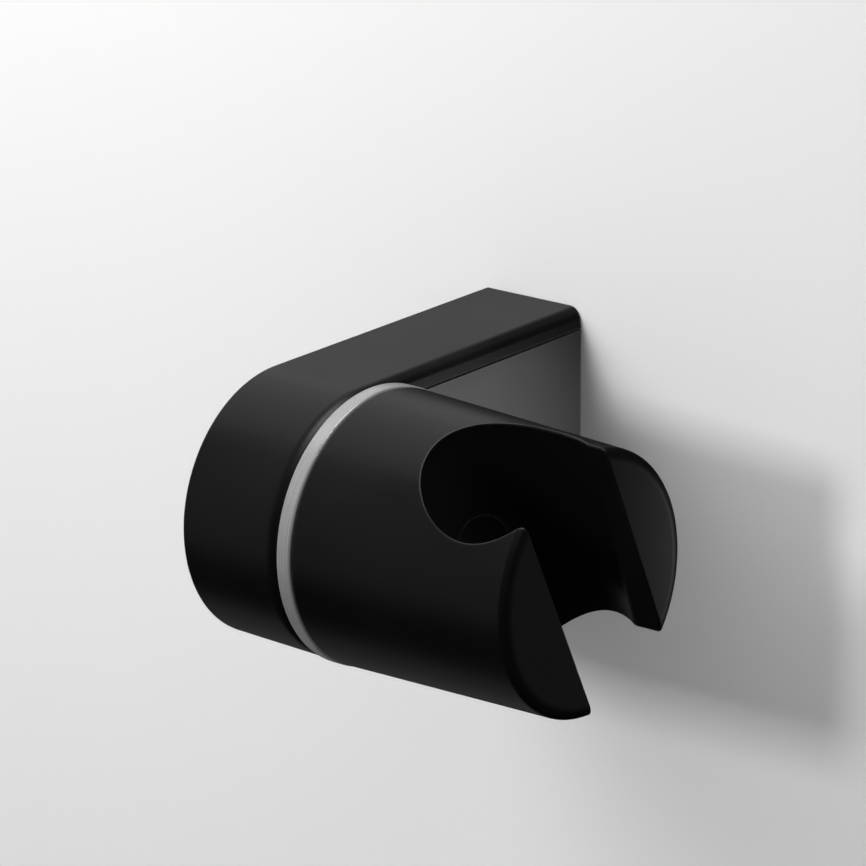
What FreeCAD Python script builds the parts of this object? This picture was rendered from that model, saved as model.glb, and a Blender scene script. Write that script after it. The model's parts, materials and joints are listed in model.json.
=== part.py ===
import FreeCAD, Part
import math
import os

"""Swivelling wall bracket for a handheld shower head.

Frame: the origin is on the wall, level with the swivel axis and at the middle of the base's width.
+X runs along the swivel axis from the base to the cradle, +Y runs into the wall and +Z is up.
All sizes are in millimetres.
"""

Vector = FreeCAD.Vector

# ---- driving dimensions ----

# base housing: a D shape seen along the swivel axis
AXIS_Y = -47.8            # swivel axis, in front of the wall
BASE_HALF_WIDTH = 9.4
NOSE_R = 20.71            # round end of the D, about the swivel axis, on the cradle's side
WALL_HALF_HEIGHT = 21.76  # half height where the D meets the wall, on the cradle's side
FAR_NOSE_R = 20.46        # the same two sizes on the far side: moulding draft
FAR_HALF_HEIGHT = 21.31
NEAR_ROUND = 2.0          # round along the cradle-side edge
NEAR_LEAN = 0.45          # the border round the side plate leans back by this much
FAR_ROUND = 0.6
SHELL_WALL = 3.2
FAR_WALL = 2.2

# side plate, which closes the housing on the cradle's side
PLATE_T = 2.4
PLATE_GAP = 0.1
PLATE_BEVEL = 0.22
SPIGOT_R = 15.0
SPIGOT_H = 2.0

# accent ring
RING_R = 21.0
RING_T = 2.55
RING_BEVEL = 0.4

# cradle: a slightly tapered round body
SWIVEL_GAP = 0.25         # between the accent ring and the cradle
CRADLE_END_X = 51.36
CRADLE_R_RING = 20.87
CRADLE_R_END = 19.93
CRADLE_ROUND = 0.95       # tight outer arc of the end's rim
CRADLE_CROWN = 4.0        # wide inner arc, which runs out into the flat end face
CRADLE_ROUND_TURN = 70.0  # degrees that the tight arc turns before the wide one takes over
CRADLE_WALL = 2.3
POCKET_END_X = 31.0       # how deep the cradle is cored out behind the hub plate
SOCKET_WALL = 2.0

# conical socket for the handset's nut
SOCKET_X = 41.53
SOCKET_TILT = 25.0        # degrees; the mouth leans away from the wall
SOCKET_R = 11.45          # radius at the swivel axis
SOCKET_TAPER = 0.05       # radius gained per mm upwards
SLOT_FRONT = 8.05         # the hose slot's two sides, off the socket's axis
SLOT_BACK = 10.07         # on the wall's side, at the swivel axis
SLOT_BACK_TAPER = 0.03    # what that side gains per mm upwards
LIP_BLEND = 2.4           # round where the socket's wall turns into the slot's
LIP_ROUND = 0.25

# pivot screw M5 and what is on it
SCREW_R = 2.5
RUNNING = 0.06            # radial clearance of the screw in its bush
HEAD_R = 4.75
HEAD_H = 2.8
SCREW_END_X = -0.7
NUT_AF = 8.0
NUT_H = 4.0

# small countersunk self-tapping screws
TAP_R = 1.45
TAP_HEAD_R = 2.2
TAP_LENGTH = 9.0
TAP_POINT = 1.8
TAP_BOSS_R = 2.8
TAP_CLEAR = 0.15
CROSS_R = 1.0
CROSS_DEPTH = 1.1

# wall plate and its two screws
WALL_PLATE_T = 3.0
GASKET_T = 1.0
WALL_HOLE_R = 2.25
WALL_HOLE_Z = (-7.5, 12.5)

# lock screw M4, from below
LOCK_Y = -9.0
LOCK_R = 2.0

# ---- places worked out from those ----

BASE_X0 = -BASE_HALF_WIDTH
BASE_X1 = BASE_HALF_WIDTH
BORDER_X0 = BASE_X1 - NEAR_LEAN
PLATE_X0 = BASE_X1 - PLATE_T
SPIGOT_X1 = BASE_X1 + SPIGOT_H
RING_X1 = BASE_X1 + RING_T
CRADLE_X0 = RING_X1 + SWIVEL_GAP
HUB_T = 3.5
HUB_X1 = CRADLE_X0 + HUB_T
CAVITY_X0 = BASE_X0 + FAR_WALL
FAR_OUT = 5.0             # how far a cutting shape runs past a face
SHARP_ANGLE = 0.2         # radians

TILT = math.radians(SOCKET_TILT)
SOCKET_UP = Vector(0, -math.sin(TILT), math.cos(TILT))
SOCKET_ACROSS = Vector(0, math.cos(TILT), math.sin(TILT))
SOCKET_CENTRE = Vector(SOCKET_X, AXIS_Y, 0)
SOCKET_REACH = 32.0

# stack along the pivot screw, from the seat in the cradle to the cap
SEAT_X = 21.5
THRUST_X1 = SEAT_X + 0.8
HEAD_WASHER_X1 = THRUST_X1 + 1.0
SPRING_X1 = HEAD_WASHER_X1 + 1.0
HEAD_X1 = SPRING_X1 + HEAD_H
CAP_X0 = HEAD_X1 + 0.6
CAP_R = 5.6
BUSH_R = 4.0
BUSH_X1 = 20.0
PIVOT_BOSS_R = 7.2
HEAD_WELL_R = 5.3

# stack in the base, behind the side plate
NUT_WASHER_T = 1.0
NUT_X1 = PLATE_X0 - NUT_WASHER_T
NUT_X0 = NUT_X1 - NUT_H
NUT_BOSS_R = 8.6
NUT_WASHER_R = 6.5

# circles of small screws
PLATE_SCREW_CIRCLE = 12.3
PLATE_SCREW_ANGLES = (60, 180, 300)
HUB_SCREW_CIRCLE = 12.7
HUB_SCREW_ANGLES = (90, 210, 330)


# ribs, bosses and clips inside the base
WEB_T = 1.6
WEB_SETBACK = 1.5
LEDGE_Y0 = -27.0
LEDGE_Y1 = -25.0
LEDGE_Z = 16.0
SNAP_X0 = 1.5
SNAP_BARB = 1.4
SNAP_Y0 = -20.0
SNAP_Y1 = -15.5
SNAP_Z = 17.95
SNAP_T = 1.3
SNAP_BARB_Z = 18.7
SNAP_POCKET_Z = 18.9

# wall plate: body, hooks that the housing hangs on, shelf that the lock screw presses
PLATE_HALF_X = 6.6
PLATE_Y0 = -GASKET_T - WALL_PLATE_T
PLATE_Z0 = -15.0
PLATE_Z1 = 18.0
PLATE_CORNER = 1.5
PAD_R = 4.2
PAD_H = 0.5
HOOK_X = 4.4
HOOK_Z = 15.0
HOOK_T = 2.2
HOOK_Y0 = -8.1
HOOK_LIP_T = 1.6
HOOK_LIP_Z = 17.0
HOOK_RIB_Y0 = -6.35
HOOK_RIB_Y1 = -4.2
SHELF_HALF_X = 4.5
SHELF_Y0 = -12.0
SHELF_Z1 = -11.6
GASKET_HALF_X = 6.3
GASKET_HOLE_R = 3.0

# lock screw and its brass insert in the floor
LOCK_BOSS_R = 4.2
LOCK_BOSS_Z = -19.5
LOCK_BOSS_TOP = -15.6
LOCK_TIP_Z = -13.5
LOCK_SCREW_Z0 = -20.2
LOCK_ACCESS_R = 2.4
LOCK_SOCKET_DEPTH = 2.0
INSERT_R = 2.9
INSERT_Z0 = -20.0
INSERT_WAIST_Z = 1.8
INSERT_WAIST_H = 0.8

# small sizes along the pivot
HEAD_SOCKET_AF = 3.0
HEAD_SOCKET_DEPTH = 1.6
SPRING_T = 0.45
FRICTION_R = 10.0
FRICTION_HOLE_R = 6.4
HUB_R = 18.4
FLANGE_R = 6.0
FLANGE_T = 1.0
GROOVE_R0 = 15.25
GROOVE_R1 = 17.15
GROOVE_DEPTH = 1.6
O_RING_SECTION = 0.9
CAP_SINK = 0.15
RIM_ROUND = 0.3


# ---- shape helpers ----

def rod(radius, x0, x1, y=AXIS_Y, z=0.0):
    """Cylinder along X."""
    return Part.makeCylinder(radius, x1 - x0, Vector(x0, y, z), Vector(1, 0, 0))


def block(x0, x1, y0, y1, z0, z1):
    return Part.makeBox(x1 - x0, y1 - y0, z1 - z0, Vector(x0, y0, z0))


def tube(outer, inner, x0, x1):
    """Round sleeve about the swivel axis."""
    return rod(outer, x0, x1).cut(rod(inner, x0 - 1, x1 + 1))


def cone_x(r0, r1, x0, x1, y=AXIS_Y, z=0.0):
    return Part.makeCone(r0, r1, x1 - x0, Vector(x0, y, z), Vector(1, 0, 0))


def join(first, *others):
    solid = first
    for other in others:
        solid = solid.fuse(other)
    return solid.removeSplitter()


def on_circle(radius, degrees):
    """Point (y, z) on a circle about the swivel axis, from +Y towards +Z."""
    angle = math.radians(degrees)
    return AXIS_Y + radius * math.cos(angle), radius * math.sin(angle)


def d_wire(x, nose_r, half_height, inset=0.0, y_end=0.0):
    """The base's D outline at x, moved in by inset, up to y_end at the wall's side."""
    reach = math.hypot(half_height, AXIS_Y)
    slope = math.acos(nose_r / reach) - math.atan2(-AXIS_Y, half_height)
    radius = nose_r - inset
    tangent_y = AXIS_Y - radius * math.sin(slope)
    tangent_z = radius * math.cos(slope)
    end_z = tangent_z + (y_end - tangent_y) * math.tan(slope)
    top = Vector(x, tangent_y, tangent_z)
    bottom = Vector(x, tangent_y, -tangent_z)
    nose = Vector(x, AXIS_Y - radius, 0)
    wall_top = Vector(x, y_end, end_z)
    wall_bottom = Vector(x, y_end, -end_z)
    return Part.Wire([
        Part.LineSegment(wall_top, top).toShape(),
        Part.Arc(top, nose, bottom).toShape(),
        Part.LineSegment(bottom, wall_bottom).toShape(),
        Part.LineSegment(wall_bottom, wall_top).toShape(),
    ])


def d_prism(inset, x0, x1, y_end=0.0):
    """Straight prism of the cradle-side D outline, moved in by inset."""
    outline = d_wire(x0, NOSE_R, WALL_HALF_HEIGHT, inset, y_end)
    return Part.Face(outline).extrude(Vector(x1 - x0, 0, 0))


def housing_block():
    """The housing's outer shape: drafted sides and a border that leans back from the side plate."""
    far = d_wire(BASE_X0, FAR_NOSE_R, FAR_HALF_HEIGHT)
    near = d_wire(BORDER_X0, NOSE_R, WALL_HALF_HEIGHT)
    opening = d_wire(BASE_X1, NOSE_R, WALL_HALF_HEIGHT, SHELL_WALL)
    sides = Part.makeLoft([far, near], True, True)
    border = Part.makeLoft([near, opening], True, True)
    return sides.fuse(border)


def edges_where(solid, test):
    return [edge for edge in solid.Edges if all(test(v.Point) for v in edge.Vertexes)]


def sharp_edges(solid):
    """Edges whose two faces meet at an angle."""
    sharp = []
    for edge in solid.Edges:
        faces = solid.ancestorsOfType(edge, Part.Face)
        if len(faces) != 2:
            continue
        middle = edge.valueAt((edge.FirstParameter + edge.LastParameter) / 2)
        normals = [face.normalAt(*face.Surface.parameter(middle)) for face in faces]
        if normals[0].getAngle(normals[1]) > SHARP_ANGLE:
            sharp.append(edge)
    return sharp


def socket_cone(extra):
    """Conical socket about its own tilted axis, grown by extra."""
    low = SOCKET_R - SOCKET_TAPER * SOCKET_REACH + extra
    high = SOCKET_R + SOCKET_TAPER * SOCKET_REACH + extra
    foot = SOCKET_CENTRE - SOCKET_UP * SOCKET_REACH
    return Part.makeCone(low, high, 2 * SOCKET_REACH, foot, SOCKET_UP)


def hose_slot():
    """Slot from the socket out through the cradle's end face, a little wider upwards."""
    taper = SLOT_BACK_TAPER * SOCKET_REACH
    foot = SOCKET_CENTRE - SOCKET_UP * SOCKET_REACH
    head = SOCKET_CENTRE + SOCKET_UP * SOCKET_REACH
    corners = [
        foot - SOCKET_ACROSS * SLOT_FRONT,
        foot + SOCKET_ACROSS * (SLOT_BACK - taper),
        head + SOCKET_ACROSS * (SLOT_BACK + taper),
        head - SOCKET_ACROSS * SLOT_FRONT,
    ]
    section = Part.Face(Part.makePolygon(corners + corners[:1]))
    return section.extrude(Vector(CRADLE_END_X + FAR_OUT - SOCKET_X, 0, 0))


def socket_and_slot():
    """The handset's whole way through the cradle, with a blended turn from socket to slot."""
    way = socket_cone(0).fuse(hose_slot())
    turns = [edge for edge in sharp_edges(way) if edge.Length > SOCKET_REACH and turns_into_slot(edge)]
    return way.makeFillet(LIP_BLEND, turns)


def turns_into_slot(edge):
    """True for the two long edges where the socket's wall meets the slot's sides."""
    return all(SOCKET_X + 1 < vertex.X < CRADLE_END_X for vertex in edge.Vertexes)


def tapping_screw(x_head, y, z, direction):
    """Countersunk self-tapping screw along X; its head's flat face is at x_head."""
    axis = Vector(direction, 0, 0)
    start = Vector(x_head, y, z)
    head_h = TAP_HEAD_R - TAP_R
    head = Part.makeCone(TAP_HEAD_R, TAP_R, head_h, start, axis)
    shank = Part.makeCylinder(TAP_R, TAP_LENGTH - TAP_POINT, start, axis)
    tip_start = start + axis * (TAP_LENGTH - TAP_POINT)
    tip = Part.makeCone(TAP_R, TAP_R / 4, TAP_POINT, tip_start, axis)
    recess = Part.makeCone(CROSS_R, CROSS_R / 3, CROSS_DEPTH, start, axis)
    screw = join(head, shank, tip)
    return screw.cut(recess)


def screw_ring(x_head, circle, angles, direction):
    """The same self-tapping screw at each angle of a circle, as separate solids."""
    places = [on_circle(circle, angle) for angle in angles]
    return Part.makeCompound([tapping_screw(x_head, y, z, direction) for y, z in places])


def countersunk_hole(x_head, y, z, direction, length):
    axis = Vector(direction, 0, 0)
    start = Vector(x_head, y, z)
    radius = TAP_R + TAP_CLEAR
    sink = Part.makeCone(TAP_HEAD_R + TAP_CLEAR, radius, TAP_HEAD_R - TAP_R, start, axis)
    return sink.fuse(Part.makeCylinder(radius, length, start, axis))


def hexagon(across_flats, x0, x1):
    """Hexagonal prism about the swivel axis."""
    radius = across_flats / math.sqrt(3)
    corners = []
    for step in range(7):
        angle = math.radians(60 * step)
        corners.append(Vector(x0, AXIS_Y + radius * math.cos(angle), radius * math.sin(angle)))
    return Part.Face(Part.makePolygon(corners)).extrude(Vector(x1 - x0, 0, 0))


def web(x0, x1, reach, degrees, thickness):
    """Flat rib from the swivel axis outwards, at an angle from +Y towards +Z."""
    rib = block(x0, x1, 0, reach, -thickness / 2, thickness / 2)
    rib.rotate(Vector(0, 0, 0), Vector(1, 0, 0), degrees)
    rib.translate(Vector(0, AXIS_Y, 0))
    return rib


# ---- base ----

def at_near_rim(point):
    return abs(point.x - BORDER_X0) < 1e-6


def at_plate_face(point):
    return abs(point.x - BASE_X1) < 1e-6


def at_far_rim(point):
    return abs(point.x - BASE_X0) < 1e-6


def outline_edges(solid, at_rim):
    """Edges of a D prism's rim, without the one that lies on the wall."""
    rim = edges_where(solid, at_rim)
    return [edge for edge in rim if any(v.Point.y < -1 for v in edge.Vertexes)]


def base_shell():
    """D-shaped housing, open towards the cradle and towards the wall."""
    body = housing_block()
    body = body.makeFillet(NEAR_ROUND, outline_edges(body, at_near_rim))
    body = body.makeFillet(FAR_ROUND, outline_edges(body, at_far_rim))
    hollow = d_prism(SHELL_WALL, CAVITY_X0, BASE_X1 + 1, 1.0)
    ribs = [rod(NUT_BOSS_R, CAVITY_X0, PLATE_X0)]
    for angle in PLATE_SCREW_ANGLES:
        y, z = on_circle(PLATE_SCREW_CIRCLE, angle)
        ribs.append(rod(TAP_BOSS_R, CAVITY_X0, PLATE_X0, y, z))
        ribs.append(web(CAVITY_X0, PLATE_X0 - WEB_SETBACK, NOSE_R - 1, angle, WEB_T))
    for side in (-1, 1):
        ribs.append(plate_ledge(side))
        ribs.append(hook_rib(side))
    ribs.append(Part.makeCylinder(LOCK_BOSS_R, LOCK_BOSS_TOP - LOCK_BOSS_Z,
                                  Vector(0, LOCK_Y, LOCK_BOSS_Z)))
    inside = d_prism(SHELL_WALL - 0.5, CAVITY_X0 - 0.5, PLATE_X0, 0.0)
    body = body.cut(hollow)
    body = join(body, *[rib.common(inside) for rib in ribs])
    body = body.cut(rod(NUT_WASHER_R + 0.1, NUT_X1, PLATE_X0 + 1))
    body = body.cut(hexagon(NUT_AF + 0.1, NUT_X0, NUT_X1 + 0.5))
    body = body.cut(rod(SCREW_R + 0.3, SCREW_END_X - 1, NUT_X0 + 0.5))
    for angle in PLATE_SCREW_ANGLES:
        y, z = on_circle(PLATE_SCREW_CIRCLE, angle)
        body = body.cut(rod(TAP_R, SPIGOT_X1 - TAP_LENGTH - 0.5, PLATE_X0 + 1, y, z))
    for side in (-1, 1):
        body = body.cut(snap_pocket(side))
    insert_seat = Part.makeCylinder(INSERT_R, 10, Vector(0, LOCK_Y, INSERT_Z0))
    access = Part.makeCylinder(LOCK_ACCESS_R, 10, Vector(0, LOCK_Y, INSERT_Z0 - 5))
    keep = block(-INSERT_R, INSERT_R, LOCK_Y - INSERT_R, LOCK_Y + INSERT_R, -30, 0)
    return body.cut(insert_seat.fuse(access).common(keep))


def plate_ledge(side):
    """Rib on the ceiling or floor that the side plate rests on."""
    z0, z1 = sorted((side * LEDGE_Z, side * (WALL_HALF_HEIGHT - 1)))
    return block(CAVITY_X0 - 0.5, PLATE_X0, LEDGE_Y0, LEDGE_Y1, z0, z1)


def hook_rib(side):
    """Ceiling rib that drops behind one hook of the wall plate."""
    outer = PLATE_X0 - 0.1 if side > 0 else CAVITY_X0 - 0.5
    x0, x1 = sorted((side * HOOK_X, outer))
    return block(x0, x1, HOOK_RIB_Y0, HOOK_RIB_Y1, HOOK_Z, WALL_HALF_HEIGHT - 1)


def snap_pocket(side):
    z0, z1 = sorted((side * 15, side * SNAP_POCKET_Z))
    return block(SNAP_X0 - 0.3, SNAP_X0 + SNAP_BARB + 0.6, SNAP_Y0 - 0.3, SNAP_Y1 + 0.3, z0, z1)


def side_plate():
    """Flat panel in the housing's open side, with the spigot that carries the accent ring."""
    plate = d_prism(SHELL_WALL + PLATE_GAP, PLATE_X0, BASE_X1)
    plate = plate.makeChamfer(PLATE_BEVEL, outline_edges(plate, at_plate_face))
    plate = plate.fuse(rod(SPIGOT_R, BASE_X1 - 0.5, SPIGOT_X1))
    for side in (-1, 1):
        plate = plate.fuse(snap_finger(side))
    plate = plate.removeSplitter()
    plate = plate.cut(rod(SCREW_R + 0.15, PLATE_X0 - 1, SPIGOT_X1 + 1))
    for angle in PLATE_SCREW_ANGLES:
        y, z = on_circle(PLATE_SCREW_CIRCLE, angle)
        plate = plate.cut(countersunk_hole(SPIGOT_X1, y, z, -1, TAP_LENGTH))
    return plate


def snap_finger(side):
    """Barbed finger that snaps into the housing's ceiling or floor."""
    z0, z1 = sorted((side * (SNAP_Z - SNAP_T), side * SNAP_Z))
    finger = block(SNAP_X0, PLATE_X0 + 0.5, SNAP_Y0, SNAP_Y1, z0, z1)
    z2, z3 = sorted((side * (SNAP_Z - 0.1), side * SNAP_BARB_Z))
    return finger.fuse(block(SNAP_X0, SNAP_X0 + SNAP_BARB, SNAP_Y0, SNAP_Y1, z2, z3))


def side_plate_screws():
    return screw_ring(SPIGOT_X1, PLATE_SCREW_CIRCLE, PLATE_SCREW_ANGLES, -1)


def accent_ring():
    ring = tube(RING_R, SPIGOT_R + 0.1, BASE_X1, RING_X1)
    rim = [edge for edge in ring.Edges if edge.Closed and edge.Curve.Radius > RING_R - 0.1]
    return ring.makeFillet(RING_BEVEL, rim)


def friction_washer():
    return tube(FRICTION_R, FRICTION_HOLE_R, SPIGOT_X1, CRADLE_X0)


def wall_plate():
    """Plate on the wall: two screw holes, two hooks for the housing and a shelf for the lock screw."""
    plate = block(-PLATE_HALF_X, PLATE_HALF_X, PLATE_Y0, -GASKET_T, PLATE_Z0, PLATE_Z1)
    corners = [edge for edge in plate.Edges if abs(edge.Vertexes[0].Y - edge.Vertexes[-1].Y) > 1]
    plate = plate.makeFillet(PLATE_CORNER, corners)
    for z in WALL_HOLE_Z:
        plate = plate.fuse(Part.makeCylinder(PAD_R, PAD_H, Vector(0, PLATE_Y0, z), Vector(0, -1, 0)))
    for side in (-1, 1):
        x0, x1 = sorted((side * HOOK_X, side * PLATE_HALF_X))
        plate = plate.fuse(block(x0, x1, HOOK_Y0, PLATE_Y0, HOOK_Z - HOOK_T, HOOK_Z))
        plate = plate.fuse(block(x0, x1, HOOK_Y0, HOOK_Y0 + HOOK_LIP_T, HOOK_Z - HOOK_T, HOOK_LIP_Z))
    plate = plate.fuse(block(-SHELF_HALF_X, SHELF_HALF_X, SHELF_Y0, PLATE_Y0, LOCK_TIP_Z, SHELF_Z1))
    plate = plate.removeSplitter()
    for z in WALL_HOLE_Z:
        plate = plate.cut(Part.makeCylinder(WALL_HOLE_R, 20, Vector(0, 1, z), Vector(0, -1, 0)))
    return plate


def wall_gasket():
    """Foam pad between the wall plate and the wall."""
    pad = block(-GASKET_HALF_X, GASKET_HALF_X, -GASKET_T, 0, PLATE_Z0 + 0.4, PLATE_Z1 - 0.4)
    corners = [edge for edge in pad.Edges if abs(edge.Vertexes[0].Y - edge.Vertexes[-1].Y) > 0.5]
    pad = pad.makeFillet(PLATE_CORNER, corners)
    for z in WALL_HOLE_Z:
        pad = pad.cut(Part.makeCylinder(GASKET_HOLE_R, 20, Vector(0, 1, z), Vector(0, -1, 0)))
    return pad


def lock_insert():
    """Brass threaded insert with a waist between its two knurled bands."""
    foot = Vector(0, LOCK_Y, INSERT_Z0)
    insert = Part.makeCylinder(INSERT_R, LOCK_BOSS_TOP - INSERT_Z0, foot)
    waist_foot = foot + Vector(0, 0, INSERT_WAIST_Z)
    waist = Part.makeCylinder(INSERT_R + 1, INSERT_WAIST_H, waist_foot)
    waist = waist.cut(Part.makeCylinder(INSERT_R - 0.3, INSERT_WAIST_H, waist_foot))
    insert = insert.cut(waist)
    return insert.cut(Part.makeCylinder(LOCK_R, 20, foot - Vector(0, 0, 5)))


def lock_screw():
    """Grub screw with a hexagon socket; its tip presses up on the wall plate's shelf."""
    foot = Vector(0, LOCK_Y, LOCK_SCREW_Z0)
    length = LOCK_TIP_Z - LOCK_SCREW_Z0
    screw = Part.makeCylinder(LOCK_R, length - 1, foot)
    tip_foot = foot + Vector(0, 0, length - 1)
    screw = screw.fuse(Part.makeCone(LOCK_R, LOCK_R - 0.8, 1, tip_foot))
    socket = hexagon(2.0, 0, LOCK_SOCKET_DEPTH)
    socket.translate(Vector(0, -AXIS_Y, 0))
    socket.rotate(Vector(0, 0, 0), Vector(0, 1, 0), -90)
    socket.translate(foot)
    return screw.cut(socket).removeSplitter()


def pivot_nut():
    """Hexagon nut with bevelled corners."""
    corner_r = NUT_AF / math.sqrt(3)
    turned = rod(corner_r, NUT_X0, NUT_X1)
    ends = [edge for edge in turned.Edges if edge.Closed]
    turned = turned.makeChamfer(0.45, ends)
    nut = hexagon(NUT_AF, NUT_X0, NUT_X1).common(turned)
    return nut.cut(rod(SCREW_R, NUT_X0 - 1, NUT_X1 + 1))


def nut_washer():
    return tube(NUT_WASHER_R, SCREW_R + 0.15, NUT_X1, PLATE_X0)


def pivot_screw():
    """Button-head M5 screw, the swivel's axle."""
    head = rod(HEAD_R, SPRING_X1, HEAD_X1)
    crown = [edge for edge in head.Edges if edge.Closed and edge.Vertexes[0].X > HEAD_X1 - 0.1]
    head = head.makeFillet(HEAD_H * 0.6, crown)
    shank = rod(SCREW_R, SCREW_END_X, SPRING_X1)
    point = [edge for edge in shank.Edges if edge.Closed and edge.Vertexes[0].X < SCREW_END_X + 0.1]
    shank = shank.makeChamfer(0.5, point)
    return join(head, shank).cut(hexagon(HEAD_SOCKET_AF, HEAD_X1 - HEAD_SOCKET_DEPTH, HEAD_X1 + 1))


def spring_washer():
    """Conical spring washer, wide side on the flat washer."""
    profile = [
        (HEAD_WASHER_X1, HEAD_R),
        (HEAD_WASHER_X1 + SPRING_T, HEAD_R),
        (SPRING_X1, SCREW_R + 0.15),
        (SPRING_X1 - SPRING_T, SCREW_R + 0.15),
    ]
    points = [Vector(x, AXIS_Y + r, 0) for x, r in profile]
    face = Part.Face(Part.makePolygon(points + points[:1]))
    return face.revolve(Vector(0, AXIS_Y, 0), Vector(1, 0, 0), 360)


def head_washer():
    return tube(HEAD_R + 0.1, SCREW_R + 0.15, THRUST_X1, HEAD_WASHER_X1)


# ---- cradle ----

def on_arc(centre, radius, angle):
    """Point of an arc in the XY plane, its angle counted from +Y towards +X."""
    return centre + Vector(radius * math.sin(angle), radius * math.cos(angle), 0)


def cradle_turned():
    """The cradle's round body, with a rim of two arcs at its end."""
    turn = math.radians(CRADLE_ROUND_TURN)
    flat_r = CRADLE_R_END - CRADLE_ROUND * (1 - math.cos(turn)) - CRADLE_CROWN * math.cos(turn)
    crown = Vector(CRADLE_END_X - CRADLE_CROWN, AXIS_Y + flat_r, 0)
    tight = on_arc(crown, CRADLE_CROWN - CRADLE_ROUND, turn)
    foot = Vector(CRADLE_X0, AXIS_Y, 0)
    rim = Vector(CRADLE_X0, AXIS_Y + CRADLE_R_RING, 0)
    start = on_arc(tight, CRADLE_ROUND, 0)
    change = on_arc(tight, CRADLE_ROUND, turn)
    flat = on_arc(crown, CRADLE_CROWN, math.pi / 2)
    middle = Vector(CRADLE_END_X, AXIS_Y, 0)
    profile = Part.Wire([
        Part.LineSegment(foot, rim).toShape(),
        Part.LineSegment(rim, start).toShape(),
        Part.Arc(start, on_arc(tight, CRADLE_ROUND, turn / 2), change).toShape(),
        Part.Arc(change, on_arc(crown, CRADLE_CROWN, (turn + math.pi / 2) / 2), flat).toShape(),
        Part.LineSegment(flat, middle).toShape(),
        Part.LineSegment(middle, foot).toShape(),
    ])
    return Part.Face(profile).revolve(Vector(0, AXIS_Y, 0), Vector(1, 0, 0), 360)


def cradle_outside():
    """Round body with the socket and the hose slot cut through it, edges rounded."""
    body = cradle_turned()
    ring_rim = [edge for edge in body.Edges if edge.Closed and edge.Vertexes[0].X < CRADLE_X0 + 0.1]
    body = body.makeFillet(RIM_ROUND, ring_rim)
    body = body.cut(socket_and_slot())
    return body.makeFillet(LIP_ROUND, sharp_edges(body))


def cradle_hollow():
    """Pocket cored out of the cradle from its ring side, around the socket and the bosses."""
    drop = (CRADLE_R_RING - CRADLE_R_END) / (CRADLE_END_X - CRADLE_X0)
    r0 = CRADLE_R_RING - CRADLE_WALL
    r1 = r0 - drop * (POCKET_END_X - CRADLE_X0)
    hollow = cone_x(r0, r1, CRADLE_X0, POCKET_END_X)
    hollow = hollow.cut(socket_cone(SOCKET_WALL))
    hollow = hollow.cut(rod(PIVOT_BOSS_R, HUB_X1, SOCKET_X))
    for angle in HUB_SCREW_ANGLES:
        y, z = on_circle(HUB_SCREW_CIRCLE, angle)
        hollow = hollow.cut(rod(TAP_BOSS_R, HUB_X1, SOCKET_X, y, z))
    return hollow


def cradle_shell():
    shell = cradle_outside().cut(cradle_hollow())
    shell = shell.cut(rod(BUSH_R, HUB_X1 - 1, BUSH_X1))
    shell = shell.cut(rod(SCREW_R + 0.3, BUSH_X1 - 1, SEAT_X + 1))
    shell = shell.cut(rod(HEAD_WELL_R, SEAT_X, SOCKET_X))
    shell = shell.cut(rod(CAP_R + 0.1, CAP_X0, SOCKET_X))
    for angle in HUB_SCREW_ANGLES:
        y, z = on_circle(HUB_SCREW_CIRCLE, angle)
        shell = shell.cut(rod(TAP_R, HUB_X1 - 1, CRADLE_X0 + TAP_LENGTH + 0.5, y, z))
    return shell


def hub_plate():
    """Round plate in the cradle's open end; its face runs on the friction washer."""
    plate = rod(HUB_R, CRADLE_X0, HUB_X1)
    plate = plate.cut(rod(BUSH_R, CRADLE_X0 - 1, HUB_X1 + 1))
    plate = plate.cut(rod(FLANGE_R, CRADLE_X0 - 1, CRADLE_X0 + FLANGE_T))
    plate = plate.cut(tube(GROOVE_R1, GROOVE_R0, CRADLE_X0 - 1, CRADLE_X0 + GROOVE_DEPTH))
    for angle in HUB_SCREW_ANGLES:
        y, z = on_circle(HUB_SCREW_CIRCLE, angle)
        plate = plate.cut(countersunk_hole(CRADLE_X0, y, z, 1, TAP_LENGTH))
    return plate


def hub_screws():
    return screw_ring(CRADLE_X0, HUB_SCREW_CIRCLE, HUB_SCREW_ANGLES, 1)


def pivot_bush():
    """Flanged acetal bush that turns on the pivot screw."""
    bush = join(rod(BUSH_R, CRADLE_X0, BUSH_X1), rod(FLANGE_R, CRADLE_X0, CRADLE_X0 + FLANGE_T))
    return bush.cut(rod(SCREW_R + RUNNING, CRADLE_X0 - 1, BUSH_X1 + 1))


def thrust_washer():
    return tube(HEAD_R + 0.35, SCREW_R + 0.3, SEAT_X, THRUST_X1)


def screw_cap():
    """Plug over the screw's head, hollowed to follow the socket's wall."""
    return rod(CAP_R, CAP_X0, SOCKET_X).cut(socket_cone(CAP_SINK))


def o_ring():
    centre = Vector(CRADLE_X0 + GROOVE_DEPTH - O_RING_SECTION, AXIS_Y, 0)
    return Part.makeTorus((GROOVE_R0 + GROOVE_R1) / 2, O_RING_SECTION, centre, Vector(1, 0, 0))


NODES = (
    base_shell, side_plate, side_plate_screws, accent_ring, friction_washer,
    wall_plate, wall_gasket, lock_insert, lock_screw,
    pivot_nut, nut_washer, pivot_screw, spring_washer, head_washer,
    cradle_shell, hub_plate, hub_screws, pivot_bush, thrust_washer, screw_cap, o_ring,
)

os.makedirs("parts", exist_ok=True)
for node in NODES:
    shape = node()
    shape.exportStep(f"parts/{node.__name__}.step")
    print(node.__name__, len(shape.Solids), shape.isValid(), round(shape.Volume, 1))
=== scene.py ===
"""Looks of the swivelling wall bracket: camera, stage, lights and the material of every piece."""

import json
import math

import bmesh
import bpy
from mathutils import Matrix, Vector
from mathutils import noise as value_noise


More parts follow.
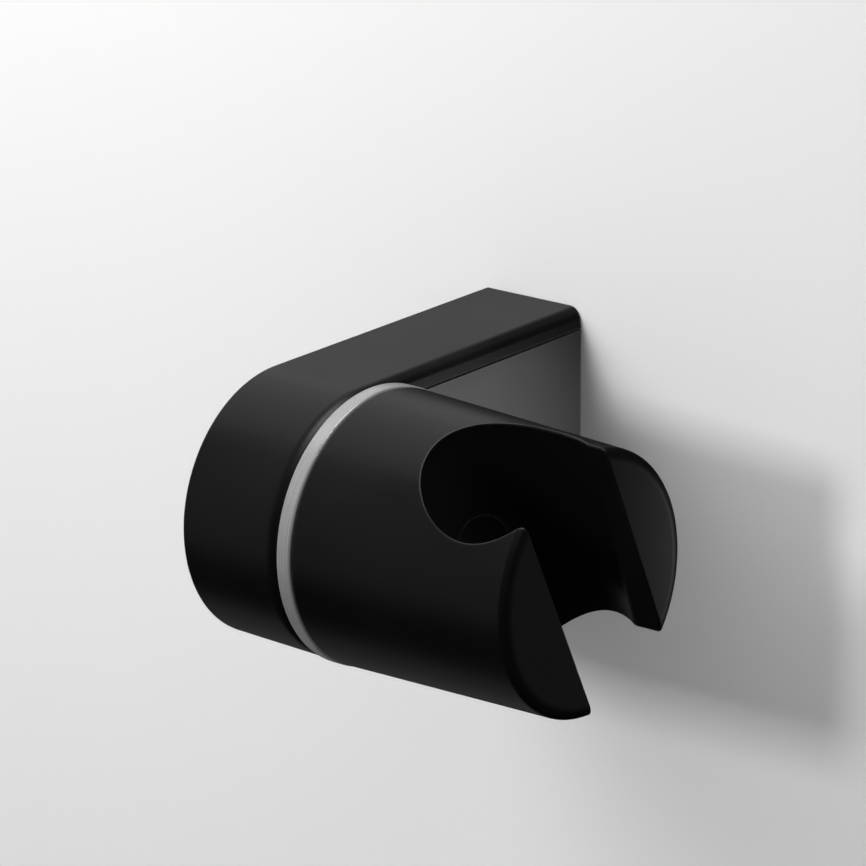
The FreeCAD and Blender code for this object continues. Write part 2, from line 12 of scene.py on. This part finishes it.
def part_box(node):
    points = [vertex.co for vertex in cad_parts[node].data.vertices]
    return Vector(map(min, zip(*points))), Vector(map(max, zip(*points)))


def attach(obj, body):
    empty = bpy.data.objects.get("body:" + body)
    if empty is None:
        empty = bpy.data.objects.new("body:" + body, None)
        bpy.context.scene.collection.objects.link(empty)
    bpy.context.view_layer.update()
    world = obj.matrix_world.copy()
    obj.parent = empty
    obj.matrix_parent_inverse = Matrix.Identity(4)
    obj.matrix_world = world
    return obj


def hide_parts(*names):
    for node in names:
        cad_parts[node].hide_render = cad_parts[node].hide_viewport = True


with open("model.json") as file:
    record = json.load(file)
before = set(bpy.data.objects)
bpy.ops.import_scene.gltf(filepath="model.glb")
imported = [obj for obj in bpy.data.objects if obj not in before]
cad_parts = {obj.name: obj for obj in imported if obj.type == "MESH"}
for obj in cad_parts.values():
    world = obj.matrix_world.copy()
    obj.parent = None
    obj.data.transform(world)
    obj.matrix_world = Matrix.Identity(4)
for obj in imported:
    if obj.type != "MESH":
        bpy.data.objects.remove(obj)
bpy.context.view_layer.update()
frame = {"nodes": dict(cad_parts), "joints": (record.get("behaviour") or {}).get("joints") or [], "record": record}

MM = 0.001

# ---- view ----

AZIMUTH = math.radians(40.70)
ELEVATION = math.radians(18.13)
CAMERA_DISTANCE = 1.050
LENS_MM = 298.9
AIM_RIGHT = 8.96 * MM     # the view's middle, from the ring's centre on the base's side
AIM_UP = 13.18 * MM

swivel = frame["joints"][0]
ring_low, ring_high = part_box("accent_ring")
RING_CENTRE = Vector((ring_low.x, swivel["pos_m"][1], swivel["pos_m"][2]))


def direction(azimuth, elevation):
    """Unit vector from the object towards a point seen at these angles; azimuth 0 is straight in front."""
    flat = math.cos(elevation)
    return Vector((math.sin(azimuth) * flat, -math.cos(azimuth) * flat, math.sin(elevation)))


def aim(obj, target):
    obj.rotation_euler = (target - obj.location).to_track_quat("-Z", "Y").to_euler()


def add_camera():
    data = bpy.data.cameras.new("view_camera")
    data.lens = LENS_MM
    data.sensor_width = 36
    data.clip_start = 0.01
    data.clip_end = 50
    camera = bpy.data.objects.new("view_camera", data)
    bpy.context.scene.collection.objects.link(camera)
    towards = direction(AZIMUTH, ELEVATION)
    right = Vector((math.cos(AZIMUTH), math.sin(AZIMUTH), 0))
    up = towards.cross(right)
    middle = RING_CENTRE + right * AIM_RIGHT + up * AIM_UP
    camera.location = middle + towards * CAMERA_DISTANCE
    aim(camera, middle)
    bpy.context.scene.camera = camera


# ---- material helpers ----

def new_material(name):
    material = bpy.data.materials.new(name)
    material.use_nodes = True
    tree = material.node_tree
    return material, tree, tree.nodes["Principled BSDF"]


def add(tree, kind, values=(), **settings):
    """New node with its settings; values maps a socket's name or index to a value or an output socket."""
    made = tree.nodes.new(kind)
    for key, value in settings.items():
        setattr(made, key, value)
    for key, value in dict(values).items():
        if isinstance(value, bpy.types.NodeSocket):
            tree.links.new(value, made.inputs[key])
        else:
            made.inputs[key].default_value = value
    return made


def math_node(tree, operation, a, b=0.0):
    return add(tree, "ShaderNodeMath", {0: a, 1: b}, operation=operation).outputs[0]


def place(tree):
    return add(tree, "ShaderNodeTexCoord").outputs["Object"]


def noise(tree, scale, detail=2.0, roughness=0.5, vector=None):
    where = vector or place(tree)
    values = {"Vector": where, "Scale": scale, "Detail": detail, "Roughness": roughness}
    return add(tree, "ShaderNodeTexNoise", values).outputs["Fac"]


def spread(tree, value, low, high, from_low=0.0, from_high=1.0):
    """Value mapped from one range to another, clamped."""
    made = add(tree, "ShaderNodeMapRange", {"Value": value, "From Min": from_low, "From Max": from_high,
                                            "To Min": low, "To Max": high})
    return made.outputs["Result"]


def mix_colour(tree, factor, first, second):
    made = add(tree, "ShaderNodeMix", data_type="RGBA")
    for index, value in ((0, factor), (6, first), (7, second)):
        if isinstance(value, bpy.types.NodeSocket):
            tree.links.new(value, made.inputs[index])
        elif index == 0:
            made.inputs[index].default_value = value
        else:
            made.inputs[index].default_value = (*value, 1.0)
    return made.outputs[2]


def edge_mask(tree, radius):
    """1 along sharp edges, 0 on flat and gently curved faces."""
    rounded = add(tree, "ShaderNodeBevel", {"Radius": radius}, samples=4).outputs["Normal"]
    normal = add(tree, "ShaderNodeNewGeometry").outputs["Normal"]
    dot = add(tree, "ShaderNodeVectorMath", {0: rounded, 1: normal}, operation="DOT_PRODUCT")
    return spread(tree, dot.outputs["Value"], 1.0, 0.0, 0.80, 0.995)


def bump(tree, height, distance):
    values = {"Height": height, "Distance": distance, "Strength": 1.0}
    return add(tree, "ShaderNodeBump", values).outputs["Normal"]


def grey(value):
    return (value, value, value)


# ---- materials ----

def black_coat():
    """Satin black coating: fine orange peel, slow sheen changes, edges polished a little and painted lighter,
    partly as rubbed wear and partly as a painted glint.
    """
    material, tree, shader = new_material("black_coat")
    patches = noise(tree, 45.0, 3.0)
    grain = noise(tree, 5200.0, 2.0)
    edges = edge_mask(tree, 0.35 * MM)
    # Edge mask times noise: partly rubbed wear, partly a painted glint along sharp edges.
    wear_and_glint = math_node(tree, "MULTIPLY", edges, spread(tree, noise(tree, 900.0, 4.0), 0.3, 1.0, 0.3, 0.7))
    base = mix_colour(tree, spread(tree, patches, 0.0, 1.0, 0.3, 0.7), grey(0.0030), grey(0.0048))
    # Edges painted lighter (grey 0.070): rubbed wear plus a painted highlight.
    base = mix_colour(tree, wear_and_glint, base, grey(0.070))
    tree.links.new(base, shader.inputs["Base Color"])
    shader.inputs["Specular IOR Level"].default_value = 0.38
    smooth = spread(tree, patches, 0.34, 0.39, 0.3, 0.7)
    smooth = math_node(tree, "SUBTRACT", smooth, math_node(tree, "MULTIPLY", wear_and_glint, 0.08))
    tree.links.new(smooth, shader.inputs["Roughness"])
    height = math_node(tree, "ADD", grain, math_node(tree, "MULTIPLY", noise(tree, 1400.0), 1.5))
    tree.links.new(bump(tree, height, 0.0012 * MM), shader.inputs["Normal"])
    return material


def satin_ring():
    """Satin light grey moulding: milky, with faint turned lines, a soft sheen and a painted highlight along its
    edges.
    """
    material, tree, shader = new_material("satin_ring")
    shader.inputs["IOR"].default_value = 1.8
    shader.inputs["Specular IOR Level"].default_value = 1.0
    shader.inputs["Subsurface Weight"].default_value = 0.15
    shader.inputs["Subsurface Radius"].default_value = (0.6 * MM, 0.6 * MM, 0.6 * MM)
    stretched = add(tree, "ShaderNodeMapping", {"Vector": place(tree), "Scale": (9000.0, 60.0, 60.0)})
    lines = noise(tree, 1.0, 3.0, 0.6, stretched.outputs["Vector"])
    patches = noise(tree, 90.0, 3.0)
    edges = edge_mask(tree, 0.25 * MM)
    base = mix_colour(tree, spread(tree, patches, 0.0, 1.0, 0.3, 0.7), grey(0.23), grey(0.27))
    # Edges painted lighter (towards grey 0.55): a painted highlight where the edges catch light.
    base = mix_colour(tree, math_node(tree, "MULTIPLY", edges, 0.5), base, grey(0.55))
    tree.links.new(base, shader.inputs["Base Color"])
    tree.links.new(spread(tree, lines, 0.25, 0.33, 0.3, 0.7), shader.inputs["Roughness"])
    tree.links.new(bump(tree, lines, 0.0006 * MM), shader.inputs["Normal"])
    return material


def moulded_grey():
    """Glass-filled nylon: dark grey with faint fibre streaks and a dull skin."""
    material, tree, shader = new_material("moulded_grey")
    stretched = add(tree, "ShaderNodeMapping", {"Vector": place(tree), "Scale": (3200.0, 700.0, 3200.0)})
    fibres = noise(tree, 1.0, 4.0, 0.6, stretched.outputs["Vector"])
    base = mix_colour(tree, spread(tree, fibres, 0.0, 1.0, 0.35, 0.75), grey(0.030), grey(0.062))
    tree.links.new(base, shader.inputs["Base Color"])
    tree.links.new(spread(tree, noise(tree, 300.0, 3.0), 0.48, 0.62, 0.3, 0.7), shader.inputs["Roughness"])
    tree.links.new(bump(tree, fibres, 0.006 * MM), shader.inputs["Normal"])
    return material


def foam():
    """Closed-cell foam: dark, dry, with small open cells at its surface."""
    material, tree, shader = new_material("foam")
    cells = add(tree, "ShaderNodeTexVoronoi", {"Vector": place(tree), "Scale": 2600.0}).outputs["Distance"]
    base = mix_colour(tree, spread(tree, cells, 0.0, 1.0, 0.1, 0.7), grey(0.010), grey(0.032))
    tree.links.new(base, shader.inputs["Base Color"])
    shader.inputs["Roughness"].default_value = 0.92
    tree.links.new(bump(tree, cells, 0.06 * MM), shader.inputs["Normal"])
    return material


def seal_rubber():
    """Black seal rubber with a faint bloom."""
    material, tree, shader = new_material("seal_rubber")
    bloom = noise(tree, 260.0, 4.0)
    base = mix_colour(tree, spread(tree, bloom, 0.0, 1.0, 0.45, 0.75), grey(0.007), grey(0.024))
    tree.links.new(base, shader.inputs["Base Color"])
    tree.links.new(spread(tree, bloom, 0.42, 0.62, 0.35, 0.7), shader.inputs["Roughness"])
    tree.links.new(bump(tree, noise(tree, 3800.0), 0.003 * MM), shader.inputs["Normal"])
    return material


def acetal():
    """Natural acetal: milky off-white with faint flow marks."""
    material, tree, shader = new_material("acetal")
    shader.inputs["Subsurface Weight"].default_value = 0.25
    shader.inputs["Subsurface Radius"].default_value = (1.2 * MM, 1.0 * MM, 0.8 * MM)
    flow = noise(tree, 160.0, 4.0)
    base = mix_colour(tree, spread(tree, flow, 0.0, 1.0, 0.3, 0.7), (0.66, 0.65, 0.60), (0.76, 0.75, 0.71))
    tree.links.new(base, shader.inputs["Base Color"])
    tree.links.new(spread(tree, noise(tree, 700.0, 3.0), 0.28, 0.42, 0.3, 0.7), shader.inputs["Roughness"])
    tree.links.new(bump(tree, noise(tree, 2400.0), 0.002 * MM), shader.inputs["Normal"])
    return material


def metal(name, dark, light, rough_low, rough_high, line_scale, line_depth):
    """Turned metal: tone patches and tool marks along line_scale."""
    material, tree, shader = new_material(name)
    shader.inputs["Metallic"].default_value = 1.0
    stretched = add(tree, "ShaderNodeMapping", {"Vector": place(tree), "Scale": line_scale})
    lines = noise(tree, 1.0, 3.0, 0.6, stretched.outputs["Vector"])
    patches = noise(tree, 420.0, 4.0)
    base = mix_colour(tree, spread(tree, patches, 0.0, 1.0, 0.3, 0.7), dark, light)
    tree.links.new(base, shader.inputs["Base Color"])
    tree.links.new(spread(tree, lines, rough_low, rough_high, 0.3, 0.7), shader.inputs["Roughness"])
    tree.links.new(bump(tree, lines, line_depth), shader.inputs["Normal"])
    return material


def stainless():
    return metal("stainless", grey(0.40), grey(0.54), 0.20, 0.36, (9000.0, 500.0, 500.0), 0.0015 * MM)


def zinc_steel():
    grain = (1800.0, 1800.0, 1800.0)
    return metal("zinc_steel", (0.40, 0.40, 0.41), (0.56, 0.55, 0.52), 0.30, 0.50, grain, 0.002 * MM)


def brass_fitting():
    turned = (9000.0, 600.0, 600.0)
    return metal("brass_fitting", (0.46, 0.30, 0.10), (0.66, 0.46, 0.18), 0.22, 0.42, turned, 0.002 * MM)


MATERIALS = {
    "black_coat": black_coat, "satin_ring": satin_ring, "moulded_grey": moulded_grey, "foam": foam,
    "seal_rubber": seal_rubber, "acetal": acetal, "zinc_steel": zinc_steel, "stainless": stainless,
    "brass_fitting": brass_fitting,
}


def finish_cad_nodes():
    """Each CAD node gets the detailed material of its own slot."""
    made = {name: build() for name, build in MATERIALS.items()}
    for part in frame["record"]["subparts"]:
        for slot in frame["nodes"][part["node"]].material_slots:
            slot.material = made[part["material_slot"]]
    return made


# ---- soft pieces ----

GASKET_CORNER = 1.5 * MM
GASKET_BEVEL = 0.22 * MM
GASKET_HOLE_R = 3.0 * MM
GASKET_VOXEL = 0.22 * MM
PIT_DEPTH = 0.10 * MM
PIT_SCALE = 900.0
FLASH_HEIGHT = 0.025 * MM


def link(name, data):
    made = bpy.data.objects.new(name, data)
    bpy.context.scene.collection.objects.link(made)
    return made


def evaluated_mesh(obj):
    depsgraph = bpy.context.evaluated_depsgraph_get()
    return bpy.data.meshes.new_from_object(obj.evaluated_get(depsgraph))


def arc_points(x, y, radius, start, turn, steps):
    angles = [start + turn * step / steps for step in range(steps)]
    return [(x + radius * math.cos(angle), y + radius * math.sin(angle)) for angle in angles]


def rounded_rectangle(x0, x1, y0, y1, radius):
    quarter = math.pi / 2
    middles = ((x1 - radius, y1 - radius), (x0 + radius, y1 - radius),
               (x0 + radius, y0 + radius), (x1 - radius, y0 + radius))
    points = []
    for index, (x, y) in enumerate(middles):
        points += arc_points(x, y, radius, index * quarter, quarter, 12)
    return points


def add_loop(curve, points):
    spline = curve.splines.new("POLY")
    spline.points.add(len(points) - 1)
    for point, (x, y) in zip(spline.points, points):
        point.co = (x, y, 0, 1)
    spline.use_cyclic_u = True


def screw_heights():
    """Heights of the two wall screws, from the record's bolt pattern."""
    mounts = frame["record"]["mounts"]
    pattern = next(mount for mount in mounts if mount["kind"] == "bolt_pattern")
    half = pattern["dims"]["spacing_y_mm"] * MM / 2
    middle = pattern["pos_m"][2]
    return middle - half, middle + half


def foam_pad(material):
    """Foam pad behind the wall plate: rounded cut edges, two punched holes and a pitted skin."""
    low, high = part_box("wall_gasket")
    curve = bpy.data.curves.new("pad_outline", "CURVE")
    curve.dimensions = "2D"
    curve.fill_mode = "BOTH"
    curve.extrude = (high.y - low.y) / 2 - GASKET_BEVEL
    curve.bevel_depth = GASKET_BEVEL
    curve.bevel_resolution = 4
    inset = GASKET_BEVEL
    add_loop(curve, rounded_rectangle(low.x + inset, high.x - inset, low.z + inset, high.z - inset,
                                      GASKET_CORNER - inset))
    for height in screw_heights():
        add_loop(curve, arc_points(0, height, GASKET_HOLE_R + inset, 0, 2 * math.pi, 48))
    outline = link("pad_outline", curve)
    mesh = evaluated_mesh(outline)
    bpy.data.objects.remove(outline)
    mesh.transform(Matrix.Translation((0, (low.y + high.y) / 2, 0)) @ Matrix.Rotation(math.pi / 2, 4, "X"))
    pad = link("foam_pad", mesh)
    remesh = pad.modifiers.new("remesh", "REMESH")
    remesh.mode = "VOXEL"
    remesh.voxel_size = GASKET_VOXEL
    soften = pad.modifiers.new("soften", "SMOOTH")
    soften.iterations = 3
    pad.data = evaluated_mesh(pad)
    pad.modifiers.clear()
    for vertex in pad.data.vertices:
        pit = max(0.0, value_noise.noise(vertex.co * PIT_SCALE) - 0.1)
        vertex.co -= vertex.normal * PIT_DEPTH * pit
    dress(pad, material, "base", "wall_gasket")


def seal_ring(material):
    """Moulded O-ring with the thin flash lines of its two mould halves."""
    low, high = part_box("o_ring")
    centre = (low + high) / 2
    section = (high.x - low.x) / 2
    ring_r = (high.z - low.z) / 2 - section
    around, across = 192, 32
    shape = bmesh.new()
    rows = []
    for step in range(around):
        angle = 2 * math.pi * step / around
        outward = Vector((0, math.cos(angle), math.sin(angle)))
        row = []
        for turn in range(across):
            tilt = 2 * math.pi * turn / across
            flash = FLASH_HEIGHT if turn in (0, across // 2) else 0.0
            reach = section - FLASH_HEIGHT + flash
            offset = outward * (ring_r + reach * math.cos(tilt)) + Vector((reach * math.sin(tilt), 0, 0))
            row.append(shape.verts.new(centre + offset))
        rows.append(row)
    for step in range(around):
        for turn in range(across):
            following = (turn + 1) % across
            shape.faces.new((rows[step][turn], rows[step][following],
                             rows[(step + 1) % around][following], rows[(step + 1) % around][turn]))
    bmesh.ops.recalc_face_normals(shape, faces=shape.faces)
    mesh = bpy.data.meshes.new("seal_ring")
    shape.to_mesh(mesh)
    shape.free()
    dress(link("seal_ring", mesh), material, "cradle", "o_ring")


def dress(piece, material, body, node):
    """Smooth shading, finish and place of a piece that stands for a CAD node."""
    for face in piece.data.polygons:
        face.use_smooth = True
    piece.data.materials.clear()
    piece.data.materials.append(material)
    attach(piece, body)
    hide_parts(node)


# ---- stage and light ----

STAGE_SIZE = 6.0
FLOOR_DROP = 1.1
WALL_GAP = 0.2 * MM       # keeps the wall just off the object's back
WALL_TONE = 0.80
SIDE_CARD_OUT = 62 * MM   # from the side plate's face
SIDE_CARD_BEHIND = 40 * MM
SIDE_CARD_DROP = 15 * MM  # below the side plate's lower edge
SIDE_CARD_AIM = Vector((-0.62, -0.72, 0.31))   # the view's direction, mirrored in the side plate
SIDE_CARD_BEAM = 34.0     # degrees
WORLD_LIGHT = 0.28
FLOOR_GLOW = 0.35         # the floor lies far below the lights
WORLD_SEEN = 0.80


def stage_material(name, tone, glow):
    """Pale plaster that is clear from behind, so that the object's back is lit and seen as well."""
    material, tree, shader = new_material(name)
    shader.inputs["Emission Color"].default_value = (*grey(tone), 1.0)
    shader.inputs["Emission Strength"].default_value = glow
    shader.inputs["Roughness"].default_value = 0.9
    shader.inputs["Specular IOR Level"].default_value = 0.0
    base = mix_colour(tree, noise(tree, 3.0, 3.0), grey(tone * 0.985), grey(tone))
    tree.links.new(base, shader.inputs["Base Color"])
    tree.links.new(bump(tree, noise(tree, 600.0, 3.0), 0.02 * MM), shader.inputs["Normal"])
    behind = add(tree, "ShaderNodeNewGeometry").outputs["Backfacing"]
    shadow = add(tree, "ShaderNodeLightPath").outputs["Is Shadow Ray"]
    clear = math_node(tree, "MAXIMUM", behind, shadow)
    glass = add(tree, "ShaderNodeBsdfTransparent").outputs["BSDF"]
    mixed = add(tree, "ShaderNodeMixShader", {0: clear, 1: shader.outputs["BSDF"], 2: glass})
    tree.links.new(mixed.outputs["Shader"], tree.nodes["Material Output"].inputs["Surface"])
    return material


def stage_plane(name, size, location, rotation, material):
    bpy.ops.mesh.primitive_plane_add(size=size, location=location, rotation=rotation)
    plane = bpy.context.object
    plane.name = name
    plane.data.materials.append(material)
    plane.visible_glossy = False
    plane.visible_diffuse = False


def add_stage():
    plaster = stage_material("pale_plaster", WALL_TONE, 0.0)
    stage_plane("wall", STAGE_SIZE, (0, WALL_GAP, 0), (math.radians(90), 0, 0), plaster)
    screed = stage_material("pale_screed", WALL_TONE, FLOOR_GLOW)
    stage_plane("floor", STAGE_SIZE, (0, 0, -FLOOR_DROP), (0, 0, 0), screed)


def add_world():
    """Even light for dull surfaces; gloss shows only the cards."""
    world = bpy.data.worlds.new("room")
    bpy.context.scene.world = world
    world.use_nodes = True
    tree = world.node_tree
    background = tree.nodes["Background"]
    seen = add(tree, "ShaderNodeLightPath").outputs["Is Camera Ray"]
    tone = mix_colour(tree, seen, grey(WORLD_LIGHT), grey(WORLD_SEEN))
    tree.links.new(tone, background.inputs["Color"])
    world.cycles_visibility.glossy = False


def softbox(name, place_at, look_at, width, height, power, in_gloss, grid=180.0):
    """Soft area light; grid is the full angle of its beam, and gloss may leave it out."""
    data = bpy.data.lights.new(name, "AREA")
    data.shape = "RECTANGLE"
    data.size = width
    data.size_y = height
    data.energy = power
    data.spread = math.radians(grid)
    light = bpy.data.objects.new(name, data)
    bpy.context.scene.collection.objects.link(light)
    light.location = place_at
    light.visible_camera = False
    light.visible_glossy = in_gloss
    aim(light, look_at)


def studio_point(azimuth, elevation, distance):
    return RING_CENTRE + direction(math.radians(azimuth), math.radians(elevation)) * distance


def add_lights():
    softbox("key", studio_point(-8, 18, 1.3), RING_CENTRE, 0.22, 0.22, 6.4, False)
    softbox("fill", studio_point(-54, 50, 0.34), RING_CENTRE, 0.30, 0.30, 1.0, False)
    softbox("front_card", studio_point(-46, 8, 1.0), RING_CENTRE, 1.0, 1.3, 0.7, True)
    softbox("top_card", studio_point(-115, 45, 1.2), RING_CENTRE, 1.5, 1.3, 4.2, True)
    softbox("low_card", studio_point(-114, -47, 1.2), RING_CENTRE, 0.8, 0.8, 0.25, True)
    softbox("rim_card", studio_point(100, 66, 1.2), RING_CENTRE, 0.8, 0.8, 9.0, True)
    softbox("end_card", studio_point(139, -18, 1.2), RING_CENTRE, 0.35, 0.35, 0.08, True)
    plate_low, plate_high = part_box("side_plate")
    card = Vector((plate_high.x + SIDE_CARD_OUT, SIDE_CARD_BEHIND, plate_low.z - SIDE_CARD_DROP))
    softbox("side_card", card, card + SIDE_CARD_AIM, 0.038, 0.054, 0.0014, True, SIDE_CARD_BEAM)


add_camera()
finishes = finish_cad_nodes()
foam_pad(finishes["foam"])
seal_ring(finishes["seal_rubber"])
add_stage()
add_world()
add_lights()
bpy.context.scene.view_settings.view_transform = "Standard"
